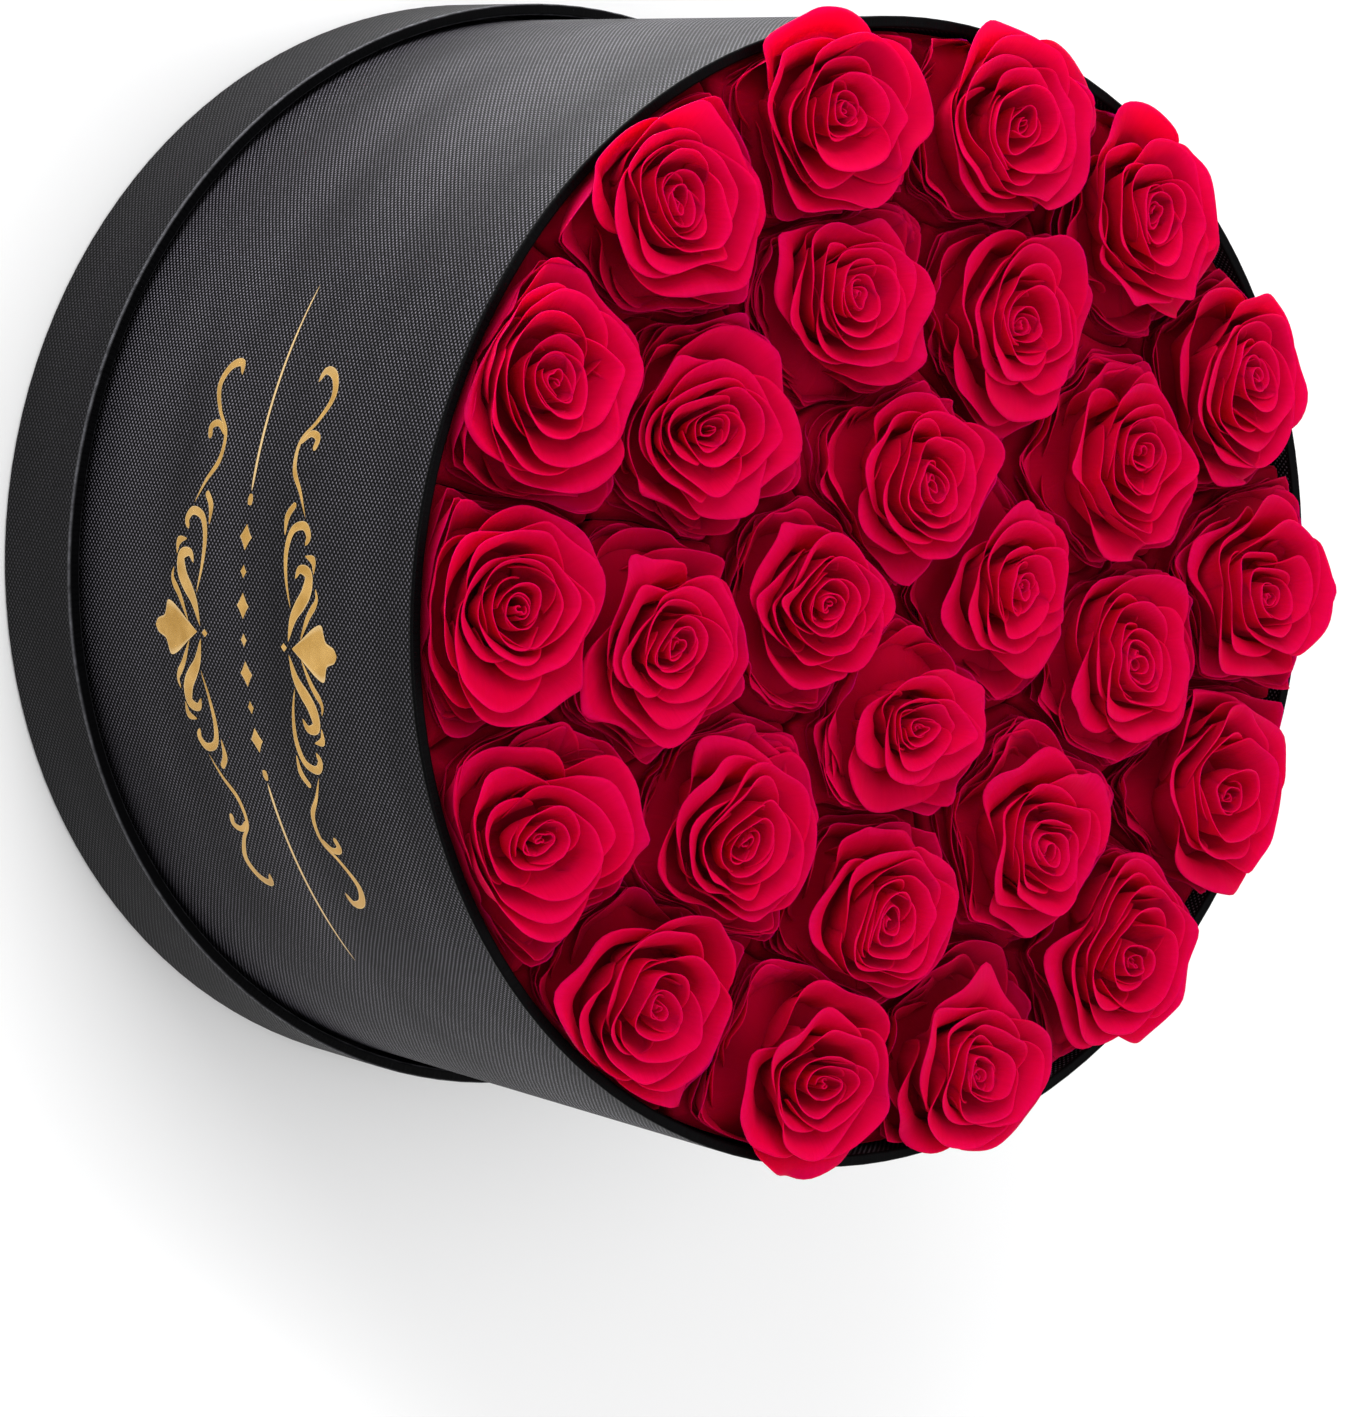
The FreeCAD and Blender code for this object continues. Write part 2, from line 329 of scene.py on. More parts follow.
def petal_velvet():
    """Preserved petals: nearly black low between the blooms as painted shade, pinker along their rims partly
    as a painted highlight, finely veined.
    """
    n = Nodes("petal_velvet")
    along = n.attribute("along")
    across = n.attribute("across")
    tone = n.attribute("tone")
    height = n.add("ShaderNodeSeparateXYZ", None, Vector=n.own_place()).outputs[2]
    streaks = n.vector(n.math("MULTIPLY", across, 26.0), n.math("MULTIPLY", along, 2.2), tone)
    veins = n.noise(streaks, 1.0, 4.0, 0.55)
    cloud = n.noise(n.own_place(), 150.0, 3.0)
    colour = n.mix(n.between(along, 0.45, 0.92), (0.60, 0.0, 0.028, 1), (0.58, 0.0, 0.034, 1))
    # Rims: partly the petal's own paler edge, partly a painted highlight, pinker towards the rim.
    colour = n.mix(n.between(along, 0.90, 1.0, 0.0, 0.6), colour, (0.66, 0.001, 0.082, 1))
    colour = n.mix(n.between(veins, 0.35, 0.65, 0.0, 0.36), colour, (0.48, 0.0, 0.024, 1))
    fade = n.between(n.math("ADD", tone, cloud), 0.5, 1.5, 0.0, 0.30)
    colour = n.mix(fade, colour, (0.66, 0.001, 0.052, 1))
    # Painted shade: petals low between the blooms are painted nearly black, where shadow falls in the gaps.
    shade = n.between(height, RIM - PAINTED_SHADE_REACH, RIM + PAINTED_SHADE_REACH, 0.95, 0.0)
    colour = n.mix(shade, colour, (0.05, 0.0, 0.001, 1))
    relief = n.bump(veins, 0.22 * MM, 0.55, n.bump(cloud, 0.5 * MM, 0.25))
    shader = n.shader.inputs
    shader["Subsurface Radius"].default_value = (1.0, 0.12, 0.2)
    shader["Sheen Tint"].default_value = (1.0, 0.01, 0.07, 1)
    shader["Specular Tint"].default_value = (1.0, 0.1, 0.25, 1)
    return n.set(Base_Color=colour, Roughness=0.6, Normal=relief, Subsurface_Weight=0.35,
                 Subsurface_Scale=3.0 * MM, Sheen_Weight=0.35, Sheen_Roughness=0.4, Specular_IOR_Level=0.05)


def gold_foil():
    """Hot-stamped foil that takes the paper's grain, paler in patches, with a painted highlight along its
    edges.
    """
    n = Nodes("gold_foil")
    along, up, _ = wall_place(n)
    threads = weave(n, along, up)
    cloud = n.noise(n.own_place(), 160.0, 3.0)
    sheen = n.noise(n.own_place(), 45.0, 2.0)
    colour = n.mix(n.between(cloud, 0.35, 0.65), (0.44, 0.24, 0.045, 1), (0.60, 0.36, 0.10, 1))
    colour = n.mix(n.between(sheen, 0.52, 0.66, 0.0, 0.5), colour, (0.70, 0.49, 0.22, 1))
    # Painted highlight: strokes are painted paler along their edges, like embossed edges catching the light.
    colour = n.mix(n.between(n.attribute("edge"), 0.75, 1.0, 0.0, 0.55), colour, (0.86, 0.66, 0.36, 1))
    return n.set(Base_Color=colour, Metallic=1.0, Roughness=n.between(cloud, 0.3, 0.7, 0.28, 0.42),
                 Normal=n.bump(threads, 0.03 * MM, 0.6))


def pale_floor():
    """Nearly white studio floor, faintly clouded."""
    n = Nodes("pale_floor")
    cloud = n.noise(n.own_place(), 3.0, 2.0)
    colour = n.mix(cloud, (0.86, 0.86, 0.865, 1), (0.90, 0.90, 0.90, 1))
    return n.set(Base_Color=colour, Roughness=0.6)


PETAL = petal_velvet()
FOIL = gold_foil()
NODE_MATERIALS = {
    "box_wrap": embossed_paper("wrap_paper", relief=0.12 * MM, tops=0.15, gloss=0.035, edge=RIM,
                               painted_fold_highlight=0.002),
    "lid_wrap": embossed_paper("lid_wrap_paper", relief=0.10 * MM, tops=0.036, gloss=0.05, edge=LID_RIM,
                               painted_fold_highlight=0.10),
    "cover": plain_paper("cover_paper", (0.022, 0.022, 0.024), 0.7),
    "lining": plain_paper("lining_paper", (0.018, 0.018, 0.02), 0.8),
    "board": raw_board(),
    "riser_ring": plain_paper("riser_card", (0.45, 0.37, 0.27), 0.85),
    "foam_disc": dry_foam(),
    "rose_calyxes": dried_green("calyx_green", (0.035, 0.07, 0.015), (0.09, 0.15, 0.04)),
    "rose_stems": dried_green("stem_green", (0.08, 0.075, 0.03), (0.17, 0.15, 0.06)),
}
NODE_MATERIALS["platform_disc"] = NODE_MATERIALS["riser_ring"]


def finish_cad_nodes():
    """Every node that stays visible gets the material whose key is in its name."""
    for name, thing in nodes.items():
        for key, material in NODE_MATERIALS.items():
            if key in name:
                thing.data.materials.clear()
                thing.data.materials.append(material)
                break


# --- Roses ----------------------------------------------------------------------------------

BLOOM_RADIUS = 27.0 * MM  # of a bloom with room round it
BLOOM_HEIGHT = 12.5 * MM  # of its inner petals above the box's open edge
BLOOM_PIVOT = -12.0 * MM  # a bloom leans about a point this far from the open edge
LEAN = math.radians(7.0)  # outward, of a bloom right at the wall
CORE_DRIFT = 2.0 * MM  # how far a bloom's middle may be off centre, along x and along y
MOST_OVAL = 0.12  # share by which a bloom may be narrower one way
PETAL_THICKNESS = 0.30 * MM
BLOOM_GAP = 0.15 * MM
OVERHANG_RADIUS = LID_RADIUS + 1.5 * MM  # how far from the axis petals above the open edge may be
OVERHANG_START = 0.5 * MM  # petals start to reach out over the wall this far above the open edge
OVERHANG_RISE = 2.5 * MM  # height over which the limit goes from the wall to the overhang
FRONT_SHARE = 0.15  # of the overhang that blooms on the ornament's side may take
PRESS_SHARPNESS = 7.0  # the higher, the nearer petals come to a limit before they give way
GOLDEN_ANGLE = math.radians(137.5)
GUARD = 1.3  # openness of a guard petal: a low, wide one outside the rest
GUARD_PETALS = 5  # all round a bloom, besides those in its corners
CORNER_FAN = (-0.34, 0.0, 0.34)  # headings of the guard petals in a corner, from its middle
DIRECTIONS = 240  # in which a bloom looks for corners between its neighbours
FIRST_RADIUS = 1.0 * MM  # of the innermost petal's rim
CUP_FOOT = 7 * MM  # radius of the petal cup where it starts
CUP_REACH = 34 * MM  # its greatest radius
CUP_DEPTH = 18 * MM  # from the bloom's crown down to its shoulder
CUP_DOME = 4 * MM  # height of its rounded top
CUP_SHOULDER = 0.7  # share of its outline up to the shoulder
SWERVE = 1.5 * MM  # how far the petals are pushed aside together, so that the blooms' borders wander
SWERVE_LENGTH = 27.0 * MM  # sets how far it is from one push to the next
SWERVE_CALM = 30 * MM  # nearer to the axis than this, the push dies away


def petal(rng, openness, angle, hand, radius, top):
    """One petal as a sheet, with how far along and across it every point is.

    openness is 0 for the innermost petal, 1 for the outermost and GUARD for a guard petal. radius
    and top are where the middle of its rim is, and hand is the way that the bloom winds.
    """
    tight = openness < 0.4
    columns = 27 if tight else 37
    rows = 20 if tight else 28
    u = np.linspace(-1, 1, columns)[None, :]
    v = np.linspace(0, 1, rows)[:, None] ** 0.8
    stages = [0.0, 0.2, 0.5, 0.8, 1.0, GUARD]

    def stage(*values):
        """The value for this petal, from the values at the stages of openness."""
        return float(np.interp(openness, stages, values))

    half_width = math.radians(stage(150, 122, 102, 88, 74, 62)) * rng.uniform(0.88, 1.12)
    length = stage(12, 14, 20, 27, 32, 30) * MM
    flare = stage(0.25, 0.32, 0.42, 0.50, 0.52, 0.6) * rng.uniform(0.85, 1.15)
    tip = math.radians(stage(-12, 8, 36, 58, 78, 58) + rng.uniform(-8, 8))
    curl = math.radians(stage(0, 3, 10, 24, 38, 20) * rng.uniform(0.6, 1.3))
    wall = math.radians(stage(0, 3, 7, 12, 16, 24))
    base = math.radians(stage(10, 25, 50, 60, 65, 60))
    spiral = stage(0.28, 0.15, 0.07, 0.05, 0.03, 0.0)
    hug = stage(0.0, 0.06, 0.15, 0.17, 0.13, 0.04)
    notch = stage(0.02, 0.03, 0.06, 0.09, 0.12, 0.16) * rng.uniform(0.5, 1.5)
    droop = stage(0.06, 0.14, 0.26, 0.28, 0.26, 0.2)
    sway = rng.uniform(-1, 1, 10)

    # The outline: where the petal ends, across its width, and so how far along it a point is
    edge = np.abs(u)
    point = stage(0.005, 0.01, 0.02, 0.035, 0.06, 0.05) * rng.uniform(0, 2)
    point = point * np.exp(-((u - 0.2 * sway[0]) / 0.13) ** 2)
    end = 1 - notch * edge**1.8 * (1 + 0.4 * sway[1] * u) - droop * edge**3.5 + point
    s = v * end

    # The profile from its foot to its rim, from how steeply it rises at each point
    bend = smooth_step((s - 1 + flare) / flare) ** 1.15
    lip = smooth_step((s - 0.9) / 0.1)
    flaring = tip * (1 - 0.45 * edge**2)
    curling = curl * (0.25 + 0.75 * np.sin(math.pi * np.clip(edge * 1.05, 0, 1)) ** 2)
    slope = wall + (base - wall) * np.clip(1 - s / 0.6, 0, 1) ** 2 + (flaring - wall) * bend + curling * lip
    step = np.diff(s, axis=0, prepend=0) * length
    out = np.cumsum(np.sin(slope) * step, axis=0)
    up = np.cumsum(np.cos(slope) * step, axis=0)
    middle = columns // 2
    base_radius = stage(0.6, 1.0, 3, 4, 5, 7) * MM
    reach = smooth_step(s / 0.7)
    r = base_radius + out + reach * (radius - base_radius - out[:, middle].max())
    z = top + up - up[:, middle].max()

    # Round the bloom's axis, with dents, waves along the rim and fine creases
    theta = angle + hand * half_width * u * (0.5 + 0.5 * reach)
    r = r * (1 + reach * (spiral * u - hug * edge**2.4))
    r = r + 0.4 * MM * reach * (sway[2] * np.sin(2 * theta + 6 * sway[3]) + sway[4] * np.sin(3 * theta))
    dent = sway[5] * np.sin(3.1 * u + 4.0 * s + 3 * sway[6]) + sway[7] * np.sin(5.3 * u - 3.0 * s)
    r = r + stage(0.05, 0.15, 0.45, 0.7, 0.9, 0.9) * MM * dent * smooth_step(s / 0.6)
    ruffle = stage(0.03, 0.08, 0.25, 0.5, 0.9, 1.3) * MM * s**5
    waves = np.sin(u * rng.uniform(4, 7) + 6 * sway[8]) + 0.5 * np.sin(u * rng.uniform(10, 15) + 3 * sway[9])
    r = r + 0.5 * ruffle * waves
    z = z + ruffle * np.roll(waves, 2, axis=1)
    crease = stage(0, 0.03, 0.08, 0.13, 0.16, 0.2) * MM * np.sin(u * rng.uniform(14, 22) + 5 * sway[0])
    r = r + crease * smooth_step(s / 0.5)
    sheet = np.stack([r * np.cos(theta), r * np.sin(theta), z], -1)
    return sheet, s, np.broadcast_to(u, s.shape)


def room_round(index, angles, heights, low=False):
    """How far a bloom may reach from its axis in each direction, at each height above the table.

    Blooms on the ornament's side stand back from the rim, the others lean out over it. Low petals
    stay inside it all round.
    """
    place = PLACES[index]
    away = np.delete(PLACES, index, 0) - place
    apart = np.hypot(*away.T)
    facing = np.cos(angles[:, None] - np.arctan2(away[:, 1], away[:, 0])[None, :])
    between = (apart / 2 - BLOOM_GAP)[None, :] / np.maximum(facing, 0.05)
    over_rim = 0.0 if low else smooth_step((heights - RIM - OVERHANG_START) / OVERHANG_RISE)
    to_back = place[1] / math.hypot(*place)
    leaning = FRONT_SHARE + (1 - FRONT_SHARE) * float(smooth_step((to_back + 0.8) / 0.5))
    wall = INSIDE_RADIUS + (OVERHANG_RADIUS - INSIDE_RADIUS) * over_rim * leaning
    towards = place[0] * np.cos(angles) + place[1] * np.sin(angles)
    to_wall = -towards + np.sqrt(np.maximum(towards**2 + wall**2 - place @ place, 0))
    return np.minimum(between.min(1), to_wall)


def press(index, points, low=False):
    """Presses a bloom's points in towards its axis where its neighbours and the wall leave no room."""
    offset = points[:, :2] - PLACES[index]
    distance = np.hypot(*offset.T)
    room = room_round(index, np.arctan2(offset[:, 1], offset[:, 0]), points[:, 2], low)
    share = distance / room
    pressed = distance * (1 + share**PRESS_SHARPNESS) ** (-1 / PRESS_SHARPNESS)
    points[:, :2] = PLACES[index] + offset * (pressed / np.maximum(distance, 1e-9))[:, None]
    return points


def swerve(points):
    """Pushes all the blooms aside by one smooth field, so that the borders between them wander.

    The field only turns points about the box's axis near the wall, so it keeps them inside it.
    """
    x, y, z = points.T * (2 * math.pi / SWERVE_LENGTH)
    radius = np.hypot(points[:, 0], points[:, 1])
    angle = np.arctan2(points[:, 1], points[:, 0])
    aside = np.sin(0.8 * x + 0.7 * z) * np.cos(0.9 * y - 0.4 * z) + 0.4 * np.sin(1.3 * x - 1.1 * y + 1.0)
    outward = np.cos(0.9 * x - 0.5 * y + 0.6 * z + 2.0) + 0.4 * np.sin(0.5 * x + 1.5 * y)
    middle = smooth_step(radius / SWERVE_CALM)
    angle += SWERVE * middle * aside / np.maximum(radius, SWERVE_CALM)
    radius += SWERVE * middle * outward * smooth_step((1 - radius / INSIDE_RADIUS) / 0.2)
    return np.stack([radius * np.cos(angle), radius * np.sin(angle), points[:, 2]], -1)


def petal_plan(rng, size, crown):
    """Openness, rim radius and rim height of each petal of a bloom, from the middle outwards."""
    count = int(rng.integers(16, 20))
    steps = rng.uniform(0.55, 1.2, count) * np.linspace(0.75, 1.2, count)
    steps[int(rng.integers(5, 9))] += rng.uniform(0.4, 1.6)
    radii = FIRST_RADIUS + (size - FIRST_RADIUS) * (np.cumsum(steps) - steps[0]) / (steps.sum() - steps[0])
    plan = []
    for radius in radii:
        openness = float(radius / size) ** 0.9
        dip = np.interp(openness, [0, 0.2, 0.4, 0.65, 0.85, 1], [2.6, 1.2, 0.0, 0.6, 2.6, 6.5]) * MM
        plan.append((openness, radius, crown - dip + rng.uniform(-0.8, 0.8) * MM))
    return plan


def guard_plan(rng, index, size, crown):
    """Direction, rim radius and rim height of the low petals, which reach into the room left over."""
    angles = np.linspace(-math.pi, math.pi, DIRECTIONS, endpoint=False)
    room = room_round(index, angles, np.full(DIRECTIONS, RIM), low=True)
    plan = []
    for i in range(DIRECTIONS):
        corner = room[i] >= max(room[i - 1], room[(i + 1) % DIRECTIONS])
        if corner and room[i] > 0.8 * size:
            for side in CORNER_FAN:
                radius = min(room[i] * rng.uniform(0.9, 1.02), 1.4 * size)
                heading = angles[i] + side + rng.uniform(-0.1, 0.1)
                plan.append((heading, radius, crown - rng.uniform(8, 15) * MM))
    for i in range(GUARD_PETALS):
        radius = size + rng.uniform(0.5, 4.0) * MM
        heading = i * GOLDEN_ANGLE + rng.uniform(-0.2, 0.2)
        plan.append((heading, radius, crown - rng.uniform(12, 18) * MM))
    return sorted(plan, key=lambda entry: -entry[2])


def petal_cup(rng, index, crown):
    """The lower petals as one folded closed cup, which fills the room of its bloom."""
    rows = 26
    columns = 145
    theta = np.broadcast_to(np.linspace(0, 2 * math.pi, columns)[None, :], (rows, columns))
    v = np.broadcast_to(np.linspace(0, 1, rows)[:, None], (rows, columns))
    risen = np.minimum(v / CUP_SHOULDER, 1)
    closed = np.clip((v - CUP_SHOULDER) / (1 - CUP_SHOULDER), 0, 1)
    shoulder = RIM + crown - CUP_DEPTH
    height = HEAD_FOOT + (shoulder - HEAD_FOOT) * risen + CUP_DOME * smooth_step((v - 0.6) / 0.4)
    room = room_round(index, theta.ravel(), height.ravel(), low=True).reshape(rows, columns)
    full = 0.995 * np.minimum(room, CUP_REACH)
    opening = CUP_FOOT + (full - CUP_FOOT) * np.sin(risen * math.pi / 2) ** 0.8
    closing = full * np.sqrt(1 - closed**2)
    broad_folds = 0.08 * np.abs(np.sin(2.5 * theta + rng.uniform(0, 6)))
    fine_folds = 0.05 * np.abs(np.sin(5.5 * theta + 4 * v))
    folds = (broad_folds + fine_folds) * smooth_step((v - 0.68) / 0.1)
    radius = np.where(v < CUP_SHOULDER, opening, closing) * (1 - folds)
    x = radius * np.cos(theta) + PLACES[index][0]
    y = radius * np.sin(theta) + PLACES[index][1]
    return np.stack([x, y, height], -1), 0.5 * v, np.sin(3 * theta)


def bloom(index):
    """A whole rose: petals from a tight middle outwards, each about a golden angle on from the last.

    Its middle is off centre by core, it is squeezed into an oval, and it leans.
    """
    rng = np.random.default_rng(100 + index)
    place = PLACES[index]
    outwards = math.hypot(*place) / BOX_RADIUS
    hand = rng.choice([-1, 1])
    angle = rng.uniform(0, 2 * math.pi)
    size = BLOOM_RADIUS * (0.81 + 0.27 * outwards) * rng.uniform(0.98, 1.04)
    crown = BLOOM_HEIGHT + (1 - outwards) * 3 * MM + rng.uniform(-1.2, 1.2) * MM
    core = rng.uniform(-1, 1, 2) * CORE_DRIFT
    oval = rng.uniform(0.0, MOST_OVAL)
    oval_turn = rng.uniform(0, math.pi)

    sheets = []
    for openness, radius, top in petal_plan(rng, size, crown):
        angle += hand * (GOLDEN_ANGLE + rng.uniform(-0.3, 0.3))
        sheets.append(petal(rng, openness, angle, hand, radius, top))
    open_petals = len(sheets)
    for heading, radius, top in guard_plan(rng, index, size, crown):
        sheets.append(petal(rng, GUARD, heading, hand, radius, top))

    turn = np.array([[math.cos(oval_turn), -math.sin(oval_turn)], [math.sin(oval_turn), math.cos(oval_turn)]])
    lean = LEAN * outwards + rng.uniform(-0.05, 0.05)
    bearing = math.atan2(place[1], place[0]) + rng.uniform(-0.5, 0.5)
    tilt = np.array(Matrix.Rotation(lean, 3, Vector((-math.sin(bearing), math.cos(bearing), 0))))
    pivot = np.array([0, 0, BLOOM_PIVOT])
    vertices, faces, along, across, tone = [], [], [], [], []
    start = 0
    for number, (sheet, s, u) in enumerate(sheets + [petal_cup(rng, index, crown)]):
        shell, quads = thick_sheet(sheet, PETAL_THICKNESS * (1.3 - 0.6 * s))
        if number < open_petals:
            distance = np.hypot(shell[:, 0], shell[:, 1])
            shell[:, :2] += core * np.clip(1 - (distance / size) ** 2, 0, 1)[:, None]
            shell[:, :2] = shell[:, :2] @ turn * np.array([1 - oval, 1 + 0.3 * oval]) @ turn.T
            shell = (shell - pivot) @ tilt.T + pivot
        if number < len(sheets):
            shell = press(index, shell + np.array([*place, RIM]), low=number >= open_petals)
        vertices.append(swerve(shell))
        faces.append(quads + start)
        start += len(shell)
        along.append(np.tile(s.ravel(), 2))
        across.append(np.tile(u.ravel(), 2))
        tone.append(np.full(len(shell), rng.uniform(0, 1)))

    thing = new_object(f"bloom_{index + 1:02d}", np.concatenate(vertices), np.concatenate(faces), PETAL)
    set_attribute(thing, "along", np.concatenate(along))
    set_attribute(thing, "across", np.concatenate(across))
    set_attribute(thing, "tone", np.concatenate(tone))
    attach(thing, "box")
    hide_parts(HEADS[index])


# --- Foil ornament --------------------------------------------------------------------------

FOIL_HEIGHT = 100.0 * MM  # of the ornament's middle line above the table
FOIL_RISE = 0.05 * MM
FOIL_STEP = 1.2 * MM  # between the rows of vertices across a strip


def on_wall(across, up):
    """Angle and height of a point on the wall: across is how far round it is from the middle."""
    angle = across / BOX_RADIUS - math.pi / 2
    return angle, FOIL_HEIGHT + up


def foil_piece(left, right):
    """A thin strip on the wall between two edges, each an array of (across, up) in metres.

    The third result is 0 along the strip's middle and 1 at its edges.
    """
    columns = 2 + int(np.abs(left - right).max() / FOIL_STEP)
    top = []
    for share in np.linspace(0, 1, columns):
        angle, height = on_wall(*(left + (right - left) * share).T)
        top.append(np.stack([np.cos(angle), np.sin(angle), height], -1))
    top = np.stack(top, 1)
    high = top * (BOX_RADIUS + FOIL_RISE, BOX_RADIUS + FOIL_RISE, 1)
    low = top[:, ::-1] * (BOX_RADIUS, BOX_RADIUS, 1)
    loop = np.concatenate([high, low], 1)
    from_middle = np.abs(np.linspace(-1, 1, columns))
    edge = np.tile(np.concatenate([from_middle, from_middle]), len(loop))
    rows, around = loop.shape[:2]
    at = np.arange(rows * around).reshape(rows, around)
    following = np.roll(at, -1, axis=1)
    sides = np.stack([at[:-1], following[:-1], following[1:], at[1:]], -1).reshape(-1, 4)
    caps = []
    for row, turn in ((at[0], 1), (at[-1], -1)):
        for j in range(columns - 1):
            caps.append((row[j], row[around - 1 - j], row[around - 2 - j], row[j + 1])[::turn])
    return loop.reshape(-1, 3), np.concatenate([sides, np.array(caps)]), edge


def smooth_line(corners, samples=48):
    """A smooth curve through corner points (Catmull-Rom, evenly spaced by length)."""
    corners = np.asarray(corners, float) * MM
    padded = np.concatenate([[2 * corners[0] - corners[1]], corners, [2 * corners[-1] - corners[-2]]])
    pieces = []
    t = np.linspace(0, 1, 24, endpoint=False)[:, None]
    for p0, p1, p2, p3 in zip(padded, padded[1:], padded[2:], padded[3:]):
        linear = (p2 - p0) * t
        square = (2 * p0 - 5 * p1 + 4 * p2 - p3) * t**2
        cube = (3 * p1 - p0 - 3 * p2 + p3) * t**3
        pieces.append(0.5 * (2 * p1 + linear + square + cube))
    line = np.concatenate(pieces + [corners[-1:]])
    length = np.concatenate([[0], np.cumsum(np.hypot(*np.diff(line, axis=0).T))])
    even = np.linspace(0, length[-1], samples)
    return np.stack([np.interp(even, length, line[:, k]) for k in (0, 1)], -1)


def stroke(corners, widths, samples=48):
    """Both edges of a pen stroke along a curve; widths are in millimetres, spaced along it."""
    line = smooth_line(corners, samples)
    tangent = np.gradient(line, axis=0)
    tangent /= np.hypot(*tangent.T)[:, None]
    side = np.stack([-tangent[:, 1], tangent[:, 0]], -1)
    share = np.linspace(0, 1, samples)
    width = np.interp(share, np.linspace(0, 1, len(widths)), widths)[:, None] * MM / 2
    from_end = np.minimum(1, 10 * np.minimum(share, 1 - share))
    rounding = np.sqrt(np.clip(1 - (1 - from_end) ** 2, 0.004, 1))[:, None]
    return line + side * width * rounding, line - side * width * rounding


# Lengths below are in millimetres, and points are (across, up) from the ornament's middle.
# Strokes of one quarter of the ornament: points along each, and its widths at even steps
QUARTER = (
    # a long leaf, thick at its hooked end
    (((1.4, 18.2), (7.0, 20.6), (12.4, 25.4), (16.6, 26.2), (17.6, 22.8), (15.4, 21.0)),
     (0.4, 2.2, 3.4, 3.6, 2.4, 1.0)),
    # a slim leaf outside it
    (((2.2, 23.2), (7.4, 26.4), (11.2, 29.6), (13.9, 29.2)), (0.3, 1.3, 1.7, 0.4)),
    # a crescent
    (((16.9, 28.2), (19.8, 27.6), (20.6, 24.4)), (0.3, 2.0, 0.3)),
    # a hooked scroll back to the middle line
    (((8.8, 19.4), (15.0, 17.4), (21.2, 16.8), (25.8, 18.6), (27.0, 22.8), (24.9, 25.0), (22.8, 24.0)),
     (0.3, 0.8, 1.3, 1.7, 1.9, 2.0, 1.6)),
    # a drop
    (((24.4, 15.6), (28.6, 15.8), (31.6, 18.4)), (0.4, 1.9, 1.5)),
    # the outer wave and its curl
    (((28.8, 22.8), (34.0, 19.4), (39.0, 15.4), (45.2, 15.4), (50.0, 20.0), (55.6, 23.2), (60.2, 21.2),
      (61.4, 17.2), (58.6, 15.6)),
     (0.3, 0.9, 1.5, 1.2, 0.9, 1.3, 1.9, 2.1, 1.7)),
    # a short curl off the wave
    (((44.6, 15.6), (47.0, 18.8), (46.2, 21.8), (43.4, 21.2)), (0.6, 1.4, 1.8, 1.5)),
)
# Half of the bud at the middle of each band, opening away from the middle line
BUD = ((0.0, 19.6), (2.6, 24.0), (5.4, 28.6), (6.2, 31.6), (4.0, 32.6), (2.6, 33.4), (1.6, 36.2), (0.0, 37.4))
DROP = ((0.0, 15.2), (0.95, 16.4), (0.0, 17.6))  # half of the small lozenge under each bud
RULE_START = 33.0
RULE_END = 81.5
RULE = ((RULE_START, 0), ((RULE_START + RULE_END) / 2, 0), (RULE_END, 0))
RULE_WIDTHS = (0.9, 0.8, 0.7, 0.3)
DOT_AT = 31.2
DOT = ((DOT_AT - 1.4, 0), (DOT_AT, 0), (DOT_AT + 1.2, 0))
DOT_WIDTHS = (1.5, 2.0, 1.2)
CHAIN = 7  # lozenges along the middle, large and small by turns
CHAIN_STEP = 7.6
LARGE_LOZENGE = (2.9, 2.4)  # half of its length and half of its width
SMALL_LOZENGE = (1.5, 1.2)


def foil_ornament():
    """Two bands of scrollwork, mirrored about a line of lozenges with a fine rule at each end."""
    strips = []
    for across_sign in (-1, 1):
        for up_sign in (-1, 1):
            flip = np.array([across_sign, up_sign])
            for corners, widths in QUARTER:
                left, right = stroke(corners, widths)
                strips.append((left * flip, right * flip))
    for up_sign in (-1, 1):
        half = smooth_line(BUD, 40)
        strips.append((half * (1, up_sign), half * (-1, up_sign)))
        drop = np.array(DROP) * MM
        strips.append((drop * (1, up_sign), drop * (-1, up_sign)))
    for across_sign in (-1, 1):
        flip = np.array([across_sign, 1])
        left, right = stroke(RULE, RULE_WIDTHS)
        strips.append((left * flip, right * flip))
        left, right = stroke(DOT, DOT_WIDTHS, 16)
        strips.append((left * flip, right * flip))
    for i in range(CHAIN):
        place = (i - (CHAIN - 1) / 2) * CHAIN_STEP
        half_length, half_width = LARGE_LOZENGE if i % 2 == 0 else SMALL_LOZENGE
        shape = np.array([(-half_length, 0), (-half_length / 3, half_width / 1.7), (0, half_width),
                          (half_length / 3, half_width / 1.7), (half_length, 0)]) * MM
        shape[:, 0] += place * MM
        strips.append((shape, shape * (1, -1)))
    vertices, faces, edges = [], [], []
    start = 0
    for left, right in strips:
        some, quads, edge = foil_piece(left, right)
        edges.append(edge)
        vertices.append(some)
        faces.append(quads + start)
        start += len(some)
    thing = new_object("foil_ornament", np.concatenate(vertices), np.concatenate(faces), FOIL, smooth=False)
    set_attribute(thing, "edge", np.concatenate(edges))
    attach(thing, "box")


# --- Room -----------------------------------------------------------------------------------


def add_floor():
    """A wide flat floor at the height of the object's foot."""
    half = 4.0
    count = 9
    x, y = np.meshgrid(np.linspace(-half, half, count), np.linspace(-half, half, count))
    sheet = np.stack([x, y, np.full_like(x, cad_box[0].z)], -1)
    floor = new_object("floor", sheet.reshape(-1, 3), grid_faces(count, count), pale_floor(), smooth=False)


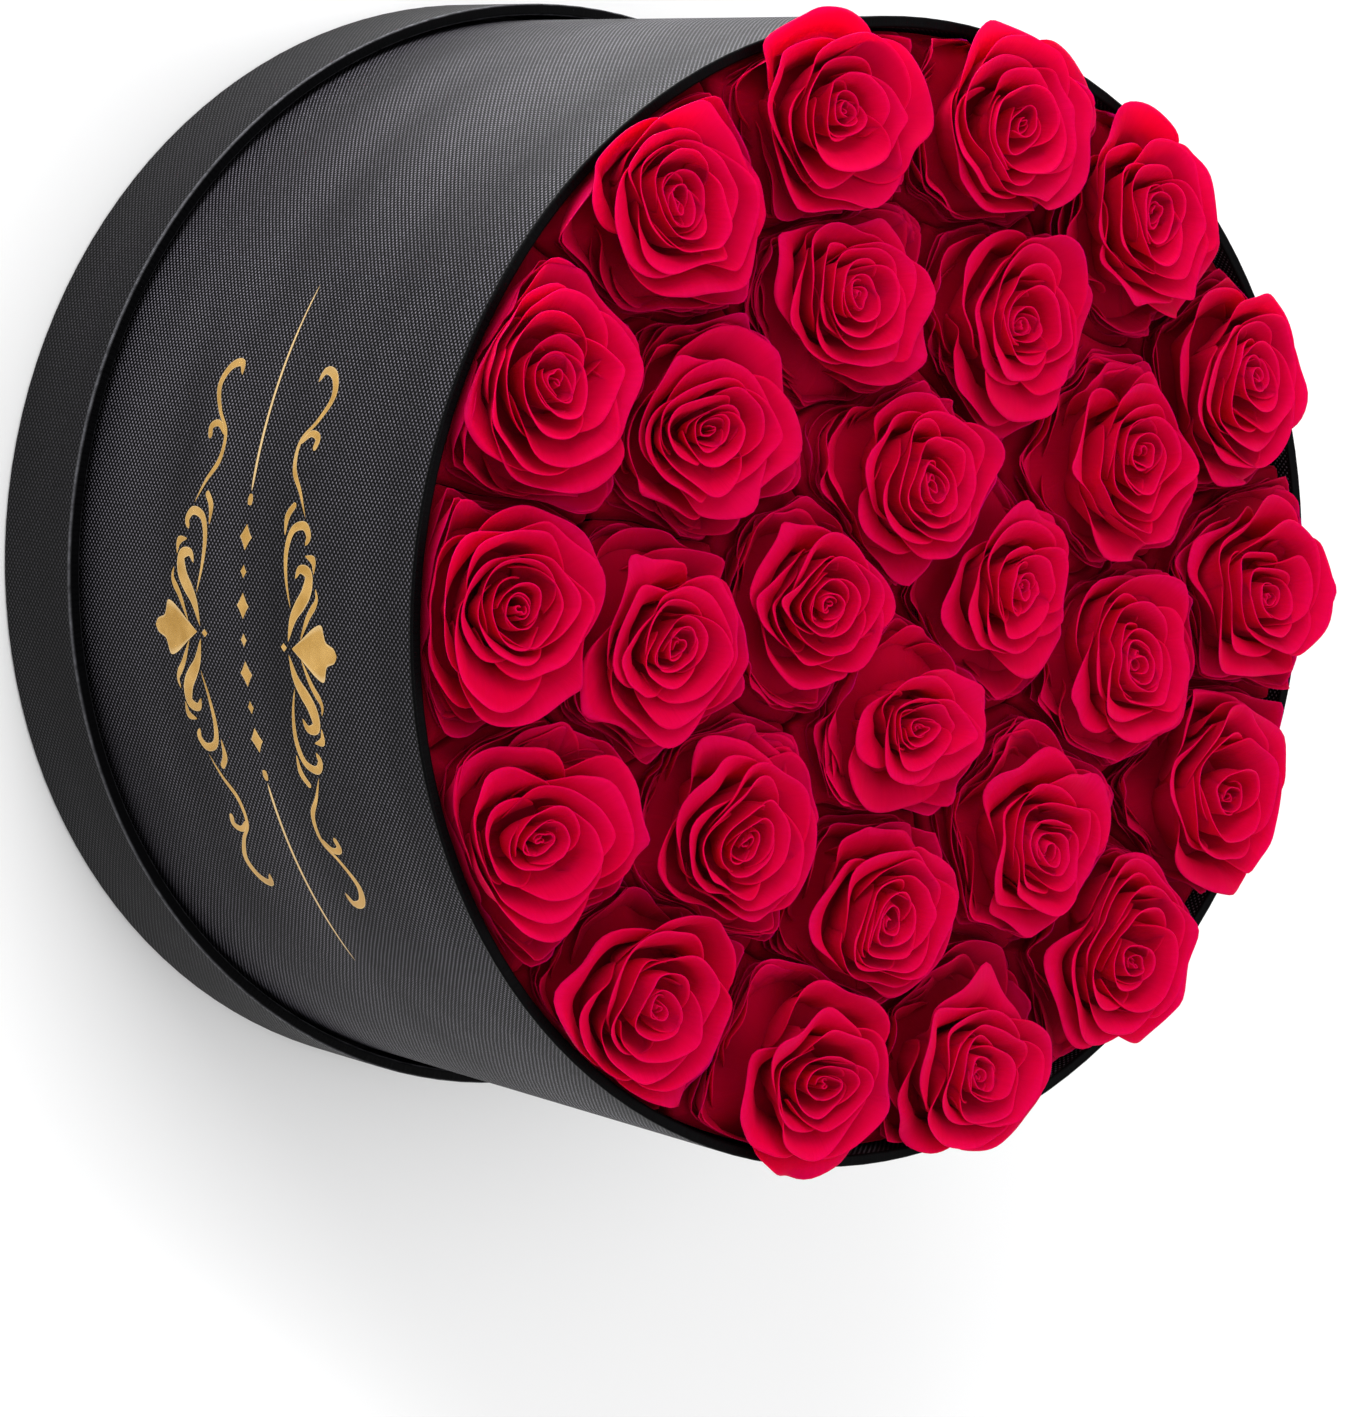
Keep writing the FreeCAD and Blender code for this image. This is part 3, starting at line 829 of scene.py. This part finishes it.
def add_camera():
    """The photograph's view: over the rim from the ornament's side, rolled on to its side."""
    heading = math.radians(15.55)  # from +Y towards +X
    elevation = math.radians(52.06)
    roll = math.radians(100.13)
    distance = 1.0726
    aim = Vector((0.0248, -0.0330, 0.130))
    forward = Vector((math.sin(heading) * math.cos(elevation), math.cos(heading) * math.cos(elevation),
                      -math.sin(elevation)))
    level = forward.cross(Vector((0, 0, 1))).normalized()
    over = level.cross(forward)
    right = level * math.cos(roll) + over * math.sin(roll)
    up = over * math.cos(roll) - level * math.sin(roll)
    data = bpy.data.cameras.new("camera")
    data.sensor_width = 36
    data.lens = 119.4
    data.clip_start = 0.05
    camera = bpy.data.objects.new("camera", data)
    camera.matrix_world = Matrix((right, up, -forward)).transposed().to_4x4()
    camera.matrix_world.translation = aim - forward * distance
    bpy.context.scene.collection.objects.link(camera)
    bpy.context.scene.camera = camera


def add_light(name, place, size, power, aim=(0, 0, 0.1)):
    """A soft box: a rectangle of that size, turned to face the aim."""
    data = bpy.data.lights.new(name, "AREA")
    data.shape = "RECTANGLE"
    data.size, data.size_y = size
    data.energy = power
    light = bpy.data.objects.new(name, data)
    light.location = place
    light.rotation_euler = (Vector(aim) - Vector(place)).to_track_quat("-Z", "Y").to_euler()
    bpy.context.scene.collection.objects.link(light)


def add_floor_light(name, place, width, power):
    """A soft round pool of light on the floor, seen in the wall's gloss as a bright streak."""
    data = bpy.data.lights.new(name, "SPOT")
    data.spot_size = 2 * math.atan(width / 2 / place[2])
    data.spot_blend = 0.8
    data.shadow_soft_size = 0.05
    data.energy = power
    light = bpy.data.objects.new(name, data)
    light.location = place
    bpy.context.scene.collection.objects.link(light)


def add_lights():
    """A soft box and a low strip at one side, one overhead and pools on the floor, in a pale room."""
    add_light("key", (-2.0, -0.6, 1.5), (1.5, 1.5), 29)
    add_light("top", (0.1, 0.1, 2.4), (1.8, 1.8), 24)
    add_light("strip", (-0.9, -0.1, 0.12), (0.8, 0.16), 7, aim=(0, 0, 0.08))
    add_floor_light("pool at one side", (-0.38, -0.02, 1.0), 0.46, 260)
    add_floor_light("pool at the other side", (0.36, -0.2, 1.0), 0.40, 70)
    world = bpy.data.worlds.new("studio")
    world.use_nodes = True
    background = world.node_tree.nodes["Background"]
    background.inputs["Color"].default_value = (1, 1, 1, 1)
    background.inputs["Strength"].default_value = 0.76
    bpy.context.scene.world = world
    bpy.context.scene.view_settings.view_transform = "Standard"


finish_cad_nodes()
for number in range(len(HEADS)):
    bloom(number)
foil_ornament()
add_floor()
add_lights()
add_camera()
